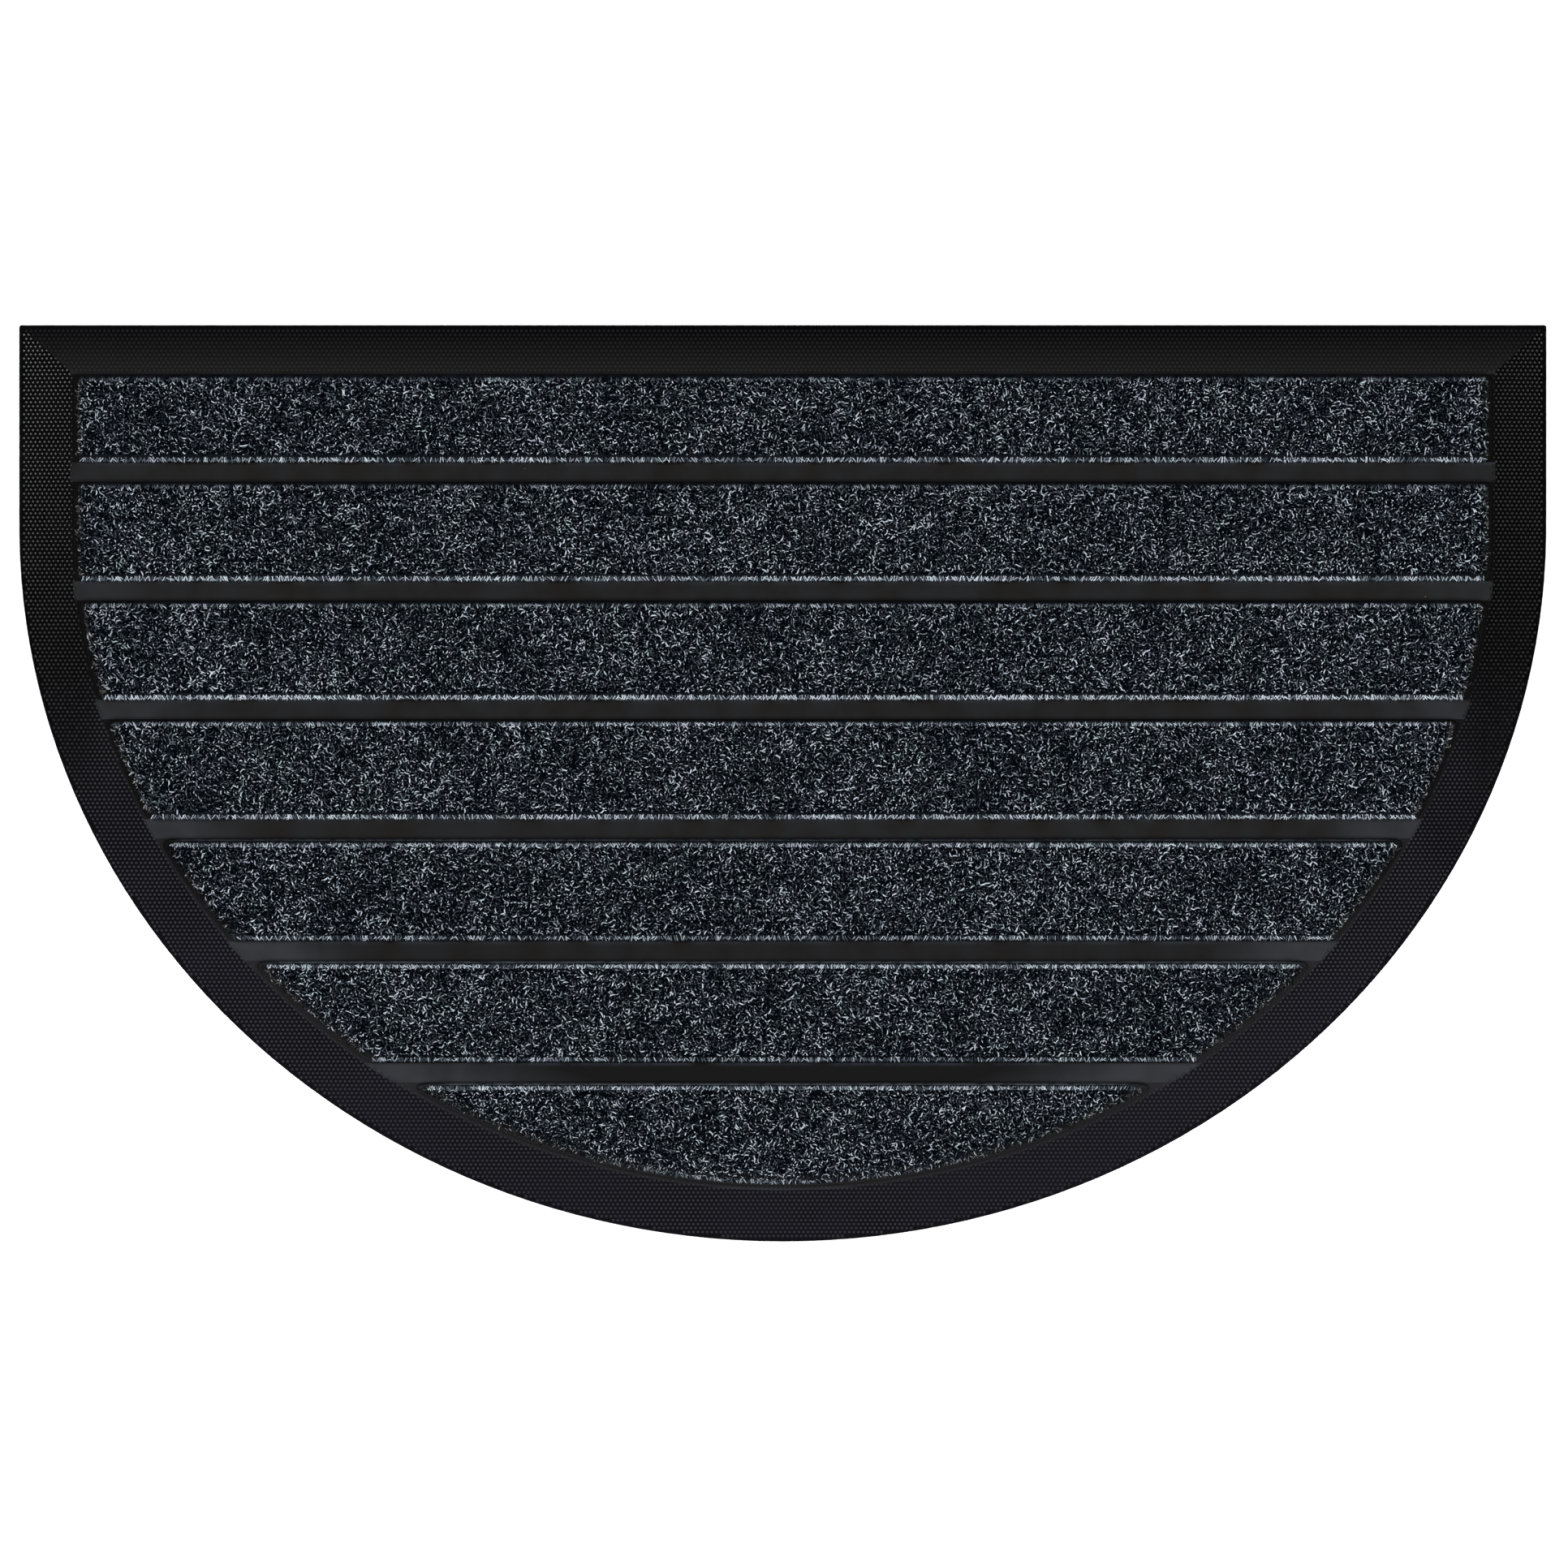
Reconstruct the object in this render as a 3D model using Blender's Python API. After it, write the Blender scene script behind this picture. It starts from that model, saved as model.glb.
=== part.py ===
"""Half-round doormat: a moulded rubber base with a ramped border, and seven raised pile pads bonded to its flat
panel with smooth channels between them. Metres, +Z up. The origin is on the floor under the middle of the mat, the
straight back edge faces +Y and the arc faces -Y."""

import math

import bmesh
import bpy
from mathutils import Vector

# Plan: a straight back edge, two short straight sides, and a half ellipse round the front.
WIDTH = 0.750
DEPTH = 0.450
SIDE_LENGTH = 0.099

HALF_WIDTH = WIDTH / 2
BACK_EDGE = DEPTH / 2
ARC_START = BACK_EDGE - SIDE_LENGTH
ARC_DEPTH = DEPTH - SIDE_LENGTH

# Rubber base. The border is narrower along the back edge than round the sides and the arc.
BORDER = 0.026
BACK_BORDER = 0.0233
PANEL_TOP = 0.0032
BASE_CORNER = 0.0012
# How far in from the edge, and how high, each level of the outer rim lies, from the floor up.
RIM_LEVELS = (
    {"inset": 0.0005, "height": 0.0},
    {"inset": 0.0, "height": 0.0005},
    {"inset": 0.0, "height": 0.0010},
    {"inset": 0.0004, "height": 0.0014},
    {"inset": 0.0013, "height": 0.0016},
)

# Pile pads. Only a narrow ledge of the panel lies between the border and the pads.
LEDGE = 0.0012
CHANNEL = 0.0097
SEAT_GAP = 0.0003
# Radius of a pad's corners at its foot. It shrinks on the way in, but not below the least one.
PAD_CORNER = 0.0048
LEAST_CORNER = 0.0005
# Each pad's width at its foot, from the back edge to the front. The last one runs out to the arc.
PAD_WIDTHS = {
    "pile_pad_1": 0.0430,
    "pile_pad_2": 0.0486,
    "pile_pad_3": 0.0485,
    "pile_pad_4": 0.0488,
    "pile_pad_5": 0.0502,
    "pile_pad_6": 0.0500,
    "pile_pad_7": None,
}
# Half of a pad's cross-section from its foot: a sloped flank, a pressed edge, then the crowned pile.
PAD_LEVELS = (
    {"inset": 0.0, "height": 0.0},
    {"inset": 0.0002, "height": 0.0012},
    {"inset": 0.0009, "height": 0.0029},
    {"inset": 0.0027, "height": 0.0032},
    {"inset": 0.0033, "height": 0.0040},
    {"inset": 0.0090, "height": 0.0045},
)

# How finely curves are cut.
BASE_STEPS = 60
LAST_PAD_STEPS = 40
PAD_END_STEPS = 10
CORNER_STEPS = 6
HALVINGS = 40
NEARBY_RUN = 0.001
ON_CENTRE_LINE = 1e-6
SHARP_ANGLE = math.radians(25)

RUBBER = {"name": "black rubber", "colour": (0.012, 0.012, 0.013, 1.0), "roughness": 0.5}
PILE = {"name": "charcoal pile", "colour": (0.045, 0.054, 0.062, 1.0), "roughness": 0.9}


def side_point(run, inset):
    """Point on the mat's right side, moved in from the edge. run is the arc's own angle: pi / 2 at the front, 0
    where the arc leaves the straight side, and below 0 on that side."""
    if run <= 0:
        return Vector((HALF_WIDTH - inset, ARC_START - run * HALF_WIDTH))
    on_edge = Vector((HALF_WIDTH * math.cos(run), ARC_START - ARC_DEPTH * math.sin(run)))
    outward = Vector((math.cos(run) / HALF_WIDTH, -math.sin(run) / ARC_DEPTH)).normalized()
    return on_edge - inset * outward


def run_at(y, inset):
    """The run at which the side, moved in from the edge, passes the cross line y."""
    if y >= ARC_START:
        return (ARC_START - y) / HALF_WIDTH
    low, high = 0.0, math.pi / 2
    for _ in range(HALVINGS):
        middle = (low + high) / 2
        if side_point(middle, inset).y > y:
            low = middle
        else:
            high = middle
    return low


def corner_reach(tip_run, inset, radius, way):
    """How far a rounding of this radius reaches from a corner, where a cross line meets the side. way is 1 where the
    piece lies towards higher runs, and -1 where it lies towards lower ones."""
    along = side_point(tip_run + way * NEARBY_RUN, inset) - side_point(tip_run, inset)
    return radius / math.tan(along.angle(Vector((-1, 0))) / 2)


def rounded(start, tip, end):
    """A corner turned smoothly from start to end, in place of its sharp tip."""
    points = []
    for step in range(CORNER_STEPS + 1):
        t = step / CORNER_STEPS
        points.append((1 - t) ** 2 * start + 2 * t * (1 - t) * tip + t**2 * end)
    return points


def outline(front, back, inset, corner, steps):
    """Anticlockwise outline of the mat, moved in from its edge, between two cross lines. With no front line it runs
    round the arc. corner is the radius of its corners."""
    back_tip_run = run_at(back, inset)
    back_reach = corner_reach(back_tip_run, inset, corner, 1)
    last = back_tip_run + back_reach / HALF_WIDTH
    if front is None:
        first = math.pi / 2
        half = [side_point(first, inset)]
    else:
        front_tip_run = run_at(front, inset)
        front_reach = corner_reach(front_tip_run, inset, corner, -1)
        first = front_tip_run - front_reach / HALF_WIDTH
        tip = side_point(front_tip_run, inset)
        half = rounded(tip - Vector((front_reach, 0)), tip, side_point(first, inset))
    for step in range(1, steps):
        half.append(side_point(first + (last - first) * step / steps, inset))
    tip = side_point(back_tip_run, inset)
    half += rounded(side_point(last, inset), tip, tip - Vector((back_reach, 0)))
    return half + [Vector((-p.x, p.y)) for p in reversed(half) if p.x > ON_CENTRE_LINE]


def loft(name, sections, origin, material):
    """Solid object skinned over a stack of level outlines, lowest first, with its origin at a point of the mat."""
    solid = bmesh.new()
    rings = []
    for points, height in sections:
        rings.append([solid.verts.new((p.x - origin.x, p.y - origin.y, height)) for p in points])
    for low, high in zip(rings, rings[1:]):
        for i in range(len(low)):
            solid.faces.new((low[i - 1], low[i], high[i], high[i - 1]))
    solid.faces.new(reversed(rings[0]))
    solid.faces.new(rings[-1])
    mesh = bpy.data.meshes.new(name)
    solid.to_mesh(mesh)
    solid.free()
    mesh.shade_smooth()
    mesh.set_sharp_from_angle(angle=SHARP_ANGLE)
    mesh.materials.append(material)
    made = bpy.data.objects.new(name, mesh)
    made.location = origin
    return made


def principled(finish):
    material = bpy.data.materials.new(finish["name"])
    material.use_nodes = True
    shader = material.node_tree.nodes["Principled BSDF"]
    shader.inputs["Base Color"].default_value = finish["colour"]
    shader.inputs["Roughness"].default_value = finish["roughness"]
    shader.inputs["Metallic"].default_value = 0.0
    return material


def make_base(material):
    """The rubber moulding: its rim's levels, then the ramp's inner edge, which is the edge of the flat panel."""
    sections = []
    for level in RIM_LEVELS:
        back = BACK_EDGE - level["inset"]
        sections.append((outline(None, back, level["inset"], BASE_CORNER, BASE_STEPS), level["height"]))
    panel = outline(None, BACK_EDGE - BACK_BORDER, BORDER, LEAST_CORNER, BASE_STEPS)
    sections.append((panel, PANEL_TOP))
    return loft("rubber_base", sections, Vector((0, 0, 0)), material)


def make_pad(name, front, back, steps, material):
    """One pile pad between two cross lines, or between its back line and the arc."""
    lowest = side_point(math.pi / 2, BORDER + LEDGE).y if front is None else front
    origin = Vector((0, (lowest + back) / 2, PANEL_TOP + SEAT_GAP))
    sections = []
    for level in PAD_LEVELS:
        inset = level["inset"]
        corner = max(PAD_CORNER - inset, LEAST_CORNER)
        front_line = None if front is None else front + inset
        points = outline(front_line, back - inset, BORDER + LEDGE + inset, corner, steps)
        sections.append((points, level["height"]))
    return loft(name, sections, origin, material)


def make_mat():
    rubber = principled(RUBBER)
    pile = principled(PILE)
    base = make_base(rubber)
    parts = [base]
    back = BACK_EDGE - BACK_BORDER - LEDGE
    for name, width in PAD_WIDTHS.items():
        front = None if width is None else back - width
        steps = LAST_PAD_STEPS if width is None else PAD_END_STEPS
        pad = make_pad(name, front, back, steps, pile)
        pad.parent = base
        parts.append(pad)
        if front is not None:
            back = front - CHANNEL
    return parts


for leftover in list(bpy.data.objects):
    bpy.data.objects.remove(leftover)

mat = bpy.data.collections.new("half_round_doormat")
bpy.context.scene.collection.children.link(mat)
for part in make_mat():
    mat.objects.link(part)
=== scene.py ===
import math
import random

import bmesh
import bpy
import numpy as np
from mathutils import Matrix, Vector, noise


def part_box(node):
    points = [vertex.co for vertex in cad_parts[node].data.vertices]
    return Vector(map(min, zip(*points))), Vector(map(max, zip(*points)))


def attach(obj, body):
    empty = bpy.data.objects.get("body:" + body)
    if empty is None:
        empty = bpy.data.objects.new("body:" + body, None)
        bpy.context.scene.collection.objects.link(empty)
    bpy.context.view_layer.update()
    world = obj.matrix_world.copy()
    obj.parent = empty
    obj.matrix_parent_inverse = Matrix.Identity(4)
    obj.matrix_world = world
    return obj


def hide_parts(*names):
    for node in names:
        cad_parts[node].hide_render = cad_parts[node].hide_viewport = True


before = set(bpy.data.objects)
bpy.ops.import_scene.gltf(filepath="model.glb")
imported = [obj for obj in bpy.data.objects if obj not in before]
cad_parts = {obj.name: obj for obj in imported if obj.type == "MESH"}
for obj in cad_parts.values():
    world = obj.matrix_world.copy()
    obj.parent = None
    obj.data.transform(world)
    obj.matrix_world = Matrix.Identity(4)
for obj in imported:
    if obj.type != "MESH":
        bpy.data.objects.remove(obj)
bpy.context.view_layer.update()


# Rubber base
# One black rubber moulding under everything: a thin outer rim, a ramped border, and a flat panel that shows
# as the channels between the pads. It comes out of the mould satin, with a fine grain, and gathers a little
# dust, lint and glue.

FLOOR_BLACK = (0.0070, 0.0063, 0.0059, 1.0)
FLOOR_BLUE = (0.0090, 0.0093, 0.0100, 1.0)
FLOOR_FRONT = (0.0042, 0.0041, 0.0043, 1.0)
# Haze with a painted sheen, which lightens the channels towards their ends.
FLOOR_HAZE_AND_SHEEN = (0.0182, 0.0195, 0.0225, 1.0)
# Painted shade on the panel round the pads and just behind them: dark at the back, lighter towards the front.
LEDGE_SHADE = (0.0024, 0.0023, 0.0026, 1.0)
LEDGE_FRONT_TONE = (0.0098, 0.0096, 0.0108, 1.0)
# Lint and a painted bluish reflection of the pad, in front of each pad.
FLOOR_LINT_AND_REFLECTION = (0.0240, 0.0290, 0.0370, 1.0)
RAMP_BLACK = (0.0004, 0.0004, 0.0005, 1.0)
# Dust and a painted sheen on the ramp round the front.
RAMP_DUST_AND_SHEEN = (0.0024, 0.0022, 0.0034, 1.0)
RAMP_BACK = (0.0022, 0.0021, 0.0022, 1.0)
RAMP_BACK_INNER = (0.0056, 0.0055, 0.0054, 1.0)
GLUE = (0.050, 0.040, 0.022, 1.0)
RUBBER_ROUGHNESS = (0.50, 0.64)
NOISE_RANGE = (0.3, 0.7)
GRAIN_PER_METRE = 2600
CLOUDS_PER_METRE = 14
CLOUDY = (0.35, 0.6, 0.7, 1.0)
SMEARS_PER_METRE = 60
SMEARED_HAZE_AND_SHEEN = (0.3, 0.6, 0.6, 1.0)
MOTTLED = (0.32, 0.62)
PATCHY_LINT_AND_REFLECTION = (0.35, 0.6)
SPECKS_PER_METRE = 95
SPECK_SIZE = 0.04
SPECKS_LEFT_OUT = 0.86
GRAIN_HEIGHT = 0.00002
RUBBER_SPECULAR = 0.015
# Channel floors are greyer than the panel round the pads, which takes a painted shade there and just behind
# them. The shade reaches this far behind the back pads, and only the width of a channel's edge behind the
# front ones. Fine lint and a painted bluish reflection of the pads reach this far in front of each pad.
PADS = [f"pile_pad_{n}" for n in range(1, 8)]
SHADE_BEHIND_PADS = 0.0003
CHANNEL_EDGE = 0.0002
LINT_AND_REFLECTION_REACH = 0.0022
# The channels are lighter towards their ends, with haze and a painted sheen. It is set out on the half
# ellipse that bounds the panel, and it thins out towards the back.
PANEL_TOP = 0.0032
PANEL_FADES_IN = (0.00006, 0.00001)
PANEL_HALF_WIDTH = 0.349
PANEL_ARC_START = 0.126
PANEL_ARC_DEPTH = 0.325
HAZE_AND_SHEEN_GROWS = (0.875, 0.955)
HAZE_AND_SHEEN_BY_DEPTH = (0.160, -0.060)
LEAST_HAZE_AND_SHEEN = 0.05
# The ramp is cleanest and blackest along the straight sides. Round the front it is greyed by dust and a
# painted sheen. Along the back it is greyer, lightest towards the pads and darkest by the rim. The back's
# ramp meets the sides' in a mitre.
HALF_WIDTH = 0.375
BACK_EDGE = 0.225
SIDE_BORDER = 0.026
BACK_BORDER = 0.0233
SIDE_RAMP_STARTS = (0.330, 0.344)
SIDE_RAMP_ENDS = (-0.02, 0.06)
FRONT_RAMP = (-0.03, -0.10)
FRONT_LEDGE = (0.05, -0.08)
LEAST_DUST_AND_SHEEN = 0.74
BACK_RAMP_DARKENS = (0.2150, 0.2205)
BACK_RAMP_LIGHTENS = (0.2140, 0.2020)
MITRE_BLUR = 0.01
FRONT_CHANNELS = (-0.06, -0.14)
FRONT_PADS = (0.0, -0.05)


def add(tree, kind, **settings):
    """A new node. A setting goes to the input that it names in small letters, or else to the property."""
    made = tree.nodes.new(kind)
    for key, value in settings.items():
        named = [s for s in made.inputs if s.name.lower().replace(" ", "_") == key and s.enabled]
        if named:
            named[0].default_value = value
        else:
            setattr(made, key, value)
    return made


def join(tree, *ends):
    """Links given as pairs: a node's output, then a node's input."""
    for start, end in zip(ends[::2], ends[1::2]):
        tree.links.new(start, end)


def new_material(name, specular):
    made = bpy.data.materials.new(name)
    made.use_nodes = True
    shader = made.node_tree.nodes["Principled BSDF"]
    shader.inputs["Specular IOR Level"].default_value = specular
    return made, made.node_tree, shader


def noise_at(tree, place, per_metre, detail):
    """A noise texture over the given place, with this many waves a metre."""
    made = add(tree, "ShaderNodeTexNoise", scale=per_metre, detail=detail)
    tree.links.new(place, made.inputs["Vector"])
    return made.outputs["Fac"]


def blend_colour(tree, factor, first, second):
    """Mixes two colours, each a value or an output, by an output or a number."""
    mixed = add(tree, "ShaderNodeMix", data_type="RGBA")
    for socket, value in ((mixed.inputs[0], factor), (mixed.inputs[6], first), (mixed.inputs[7], second)):
        if isinstance(value, bpy.types.NodeSocket):
            tree.links.new(value, socket)
        else:
            socket.default_value = value
    return mixed.outputs[2]


def span(tree, value, low, high, to_low=0.0, to_high=1.0):
    """Maps low..high to to_low..to_high, held at the ends."""
    mapped = add(tree, "ShaderNodeMapRange", from_min=low, from_max=high, to_min=to_low, to_max=to_high)
    tree.links.new(value, mapped.inputs["Value"])
    return mapped.outputs["Result"]


def maths(tree, operation, first, second=0.0):
    made = add(tree, "ShaderNodeMath", operation=operation)
    for socket, value in zip(made.inputs, (first, second)):
        if isinstance(value, bpy.types.NodeSocket):
            tree.links.new(value, socket)
        else:
            socket.default_value = value
    return made.outputs[0]


def between_pads(tree, along):
    """1 in the channels, and 0 beside the pads and just behind them, where the panel takes its painted shade,
    from the Y coordinate.
    """
    free = None
    for node in PADS:
        low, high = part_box(node)
        shaded_strip = SHADE_BEHIND_PADS if high.y > FRONT_PADS[1] else CHANNEL_EDGE
        above = span(tree, along, high.y + shaded_strip / 2, high.y + shaded_strip)
        below = span(tree, along, low.y, low.y - CHANNEL_EDGE)
        outside = maths(tree, "ADD", above, below)
        free = outside if free is None else maths(tree, "MULTIPLY", free, outside)
    return free


def beside_front_edges(tree, along):
    """1 at the front edge of each pad, falling to 0 where its lint and painted reflection end, from the Y
    coordinate.
    """
    total = None
    for node in PADS:
        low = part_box(node)[0].y
        near = maths(tree, "POWER", span(tree, along, low - LINT_AND_REFLECTION_REACH, low), 2)
        this = maths(tree, "MULTIPLY", near, maths(tree, "LESS_THAN", along, low + CHANNEL_EDGE))
        total = this if total is None else maths(tree, "ADD", total, this)
    return total


def on_back_ramp(tree, split):
    """1 on the back's ramp and 0 on the sides', with the mitre between them, from the place."""
    from_side = maths(tree, "SUBTRACT", HALF_WIDTH, maths(tree, "ABSOLUTE", split.outputs["X"]))
    from_back = maths(tree, "SUBTRACT", BACK_EDGE, split.outputs["Y"])
    across = maths(tree, "DIVIDE", from_side, SIDE_BORDER)
    along = maths(tree, "DIVIDE", from_back, BACK_BORDER)
    return span(tree, maths(tree, "SUBTRACT", across, along), -MITRE_BLUR, MITRE_BLUR)


def dust_and_sheen(tree, split, clouds):
    """How much dust and painted sheen the ramp has, from 0 to 1, from the place and a slow noise."""
    at_side = span(tree, maths(tree, "ABSOLUTE", split.outputs["X"]), *SIDE_RAMP_STARTS)
    free_of_dust_and_sheen = maths(tree, "MULTIPLY", at_side, span(tree, split.outputs["Y"], *SIDE_RAMP_ENDS))
    by_place = span(tree, split.outputs["Y"], *FRONT_RAMP, LEAST_DUST_AND_SHEEN, 1.0)
    dust_and_sheen_amount = maths(tree, "MULTIPLY", maths(tree, "SUBTRACT", 1.0, free_of_dust_and_sheen), by_place)
    return maths(tree, "MULTIPLY", dust_and_sheen_amount, span(tree, clouds, *CLOUDY))


def back_tones(tree, split, middle, inner, outer):
    """The colour along the back's ramp: one for its middle, one towards the pads and one by the rim."""
    towards_pads = blend_colour(tree, span(tree, split.outputs["Y"], *BACK_RAMP_LIGHTENS), middle, inner)
    return blend_colour(tree, span(tree, split.outputs["Y"], *BACK_RAMP_DARKENS), towards_pads, outer)


def rubber_material():
    made, tree, shader = new_material("moulded black rubber", RUBBER_SPECULAR)
    place = add(tree, "ShaderNodeTexCoord").outputs["Object"]
    clouds = noise_at(tree, place, CLOUDS_PER_METRE, 3.0)
    grain = noise_at(tree, place, GRAIN_PER_METRE, 2.0)
    smears = noise_at(tree, place, SMEARS_PER_METRE, 5.0)
    specks = add(tree, "ShaderNodeTexVoronoi", scale=SPECKS_PER_METRE)
    split = add(tree, "ShaderNodeSeparateXYZ")
    join(tree, place, specks.inputs["Vector"], place, split.inputs[0])

    across = maths(tree, "DIVIDE", split.outputs["X"], PANEL_HALF_WIDTH)
    below = maths(tree, "MINIMUM", maths(tree, "SUBTRACT", split.outputs["Y"], PANEL_ARC_START), 0.0)
    along = maths(tree, "DIVIDE", below, PANEL_ARC_DEPTH)
    squares = maths(tree, "ADD", maths(tree, "POWER", across, 2), maths(tree, "POWER", along, 2))
    reach = maths(tree, "SQRT", squares)
    panel_levels = [PANEL_TOP - depth for depth in PANEL_FADES_IN]
    on_panel = span(tree, split.outputs["Z"], *panel_levels)
    channel = maths(tree, "MULTIPLY", between_pads(tree, split.outputs["Y"]), on_panel)
    by_depth = span(tree, split.outputs["Y"], *HAZE_AND_SHEEN_BY_DEPTH, LEAST_HAZE_AND_SHEEN, 1.0)
    # Haze and a painted sheen, growing towards the ends of the channels.
    haze_and_sheen = maths(tree, "MULTIPLY", span(tree, reach, *HAZE_AND_SHEEN_GROWS), by_depth)
    cloudy = maths(tree, "MULTIPLY", haze_and_sheen, span(tree, smears, *SMEARED_HAZE_AND_SHEEN))

    floor_tone = blend_colour(tree, span(tree, smears, *MOTTLED), FLOOR_BLACK, FLOOR_BLUE)
    front = span(tree, split.outputs["Y"], *FRONT_CHANNELS)
    by_place = blend_colour(tree, front, floor_tone, FLOOR_FRONT)
    patchy = span(tree, smears, *PATCHY_LINT_AND_REFLECTION)
    lint_and_reflection = maths(tree, "MULTIPLY", beside_front_edges(tree, split.outputs["Y"]), patchy)
    with_lint_and_reflection = blend_colour(tree, lint_and_reflection, by_place, FLOOR_LINT_AND_REFLECTION)
    with_haze_and_sheen = blend_colour(tree, cloudy, with_lint_and_reflection, FLOOR_HAZE_AND_SHEEN)
    side_ramp = blend_colour(tree, dust_and_sheen(tree, split, clouds), RAMP_BLACK, RAMP_DUST_AND_SHEEN)
    back_ramp = back_tones(tree, split, RAMP_BACK, RAMP_BACK_INNER, RAMP_BLACK)
    ramp = blend_colour(tree, on_back_ramp(tree, split), side_ramp, back_ramp)
    # The ledge's colour is painted shade beside and behind the pads, fading to a lighter tone towards the
    # front.
    ledge = blend_colour(tree, span(tree, split.outputs["Y"], *FRONT_LEDGE), LEDGE_SHADE, LEDGE_FRONT_TONE)
    dark = blend_colour(tree, on_panel, ramp, ledge)
    spot = maths(tree, "LESS_THAN", specks.outputs["Distance"], SPECK_SIZE)
    chosen = add(tree, "ShaderNodeSeparateColor")
    join(tree, specks.outputs["Color"], chosen.inputs[0])
    few = maths(tree, "GREATER_THAN", chosen.outputs[0], SPECKS_LEFT_OUT)
    glued = maths(tree, "MULTIPLY", maths(tree, "MULTIPLY", spot, few), on_panel)
    rubber_tone = blend_colour(tree, channel, dark, with_haze_and_sheen)
    join(tree, blend_colour(tree, glued, rubber_tone, GLUE), shader.inputs["Base Color"])

    rough = span(tree, smears, *NOISE_RANGE, *RUBBER_ROUGHNESS)
    bump = add(tree, "ShaderNodeBump", distance=GRAIN_HEIGHT)
    join(tree, rough, shader.inputs["Roughness"], grain, bump.inputs["Height"])
    join(tree, bump.outputs["Normal"], shader.inputs["Normal"])
    return made


rubber = rubber_material()
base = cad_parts["rubber_base"]
base.data.materials.clear()
base.data.materials.append(rubber)


# Border pips
# Thousands of tiny blunt pips moulded on the ramp of the border, for grip. They stand in one even lattice of
# rows that runs straight through the whole border, from the bare rim to just past the panel's edge. The pips
# of the back are dull, and so are the dusty ones at the front, whose colour carries the dust and a painted
# bluish sheen.

PIP_SPACING = 0.00225
PIP_FOOT = 0.00090
PIP_CROWN = 0.00050
PIP_HEIGHT = 0.00042
PIP_SIDES = 5
PIP_SUNK = 0.00004
PIP_CLEAR_OF_RIM = 0.0004
PIPS_PAST_RAMP = 0.0005
PIP_TONE = (0.0014, 0.0014, 0.0014, 1.0)
# Dust and a painted bluish sheen on the front pips.
PIP_DUST_AND_SHEEN = (0.0082, 0.0078, 0.0130, 1.0)
PIP_BACK = (0.0022, 0.0021, 0.0023, 1.0)
PIP_BACK_INNER = (0.0062, 0.0060, 0.0059, 1.0)
PIP_BACK_RIM = (0.0004, 0.0004, 0.0014, 1.0)
PIP_SCUFF = (0.0080, 0.0074, 0.0072, 1.0)
PIPS_MATT_BY_DEPTH = (-0.09, -0.20)
PIPS_MATT = (0.70, 0.98)
PIPS_SATIN = (0.24, 0.36)
PIPS_SPECULAR = 0.25
SCUFFS_PER_METRE = 420
SCUFFED = (0.45, 0.75)
# The lattice covers the mat. Rays drop it on the base, and a pip stays where the base slopes as the ramp does
# or on the panel close to the ramp. The rim's side of the ramp lies below this share of the panel's height.
RAMP_NORMAL_Z = (0.993, 0.9994)
RIM_SIDE = 0.75
RAY_START = 0.05
RAY_LENGTH = 1.0
MERGE = 1e-6


def pip_mesh():
    shape = bmesh.new()
    bmesh.ops.create_cone(
        shape, cap_ends=True, segments=PIP_SIDES, radius1=PIP_FOOT, radius2=PIP_CROWN, depth=PIP_HEIGHT
    )
    bmesh.ops.translate(shape, verts=shape.verts, vec=(0, 0, PIP_HEIGHT / 2 - PIP_SUNK))
    made = bpy.data.meshes.new("pip")
    shape.to_mesh(made)
    shape.free()
    return made


def new_tree(name, sockets):
    """A geometry tree with named inputs, given as (name, socket type), and the input and output nodes."""
    tree = bpy.data.node_groups.new(name, "GeometryNodeTree")
    tree.interface.new_socket("Geometry", in_out="INPUT", socket_type="NodeSocketGeometry")
    for label, kind in sockets:
        tree.interface.new_socket(label, in_out="INPUT", socket_type=kind)
    tree.interface.new_socket("Geometry", in_out="OUTPUT", socket_type="NodeSocketGeometry")
    return tree, add(tree, "NodeGroupInput"), add(tree, "NodeGroupOutput")


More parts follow.
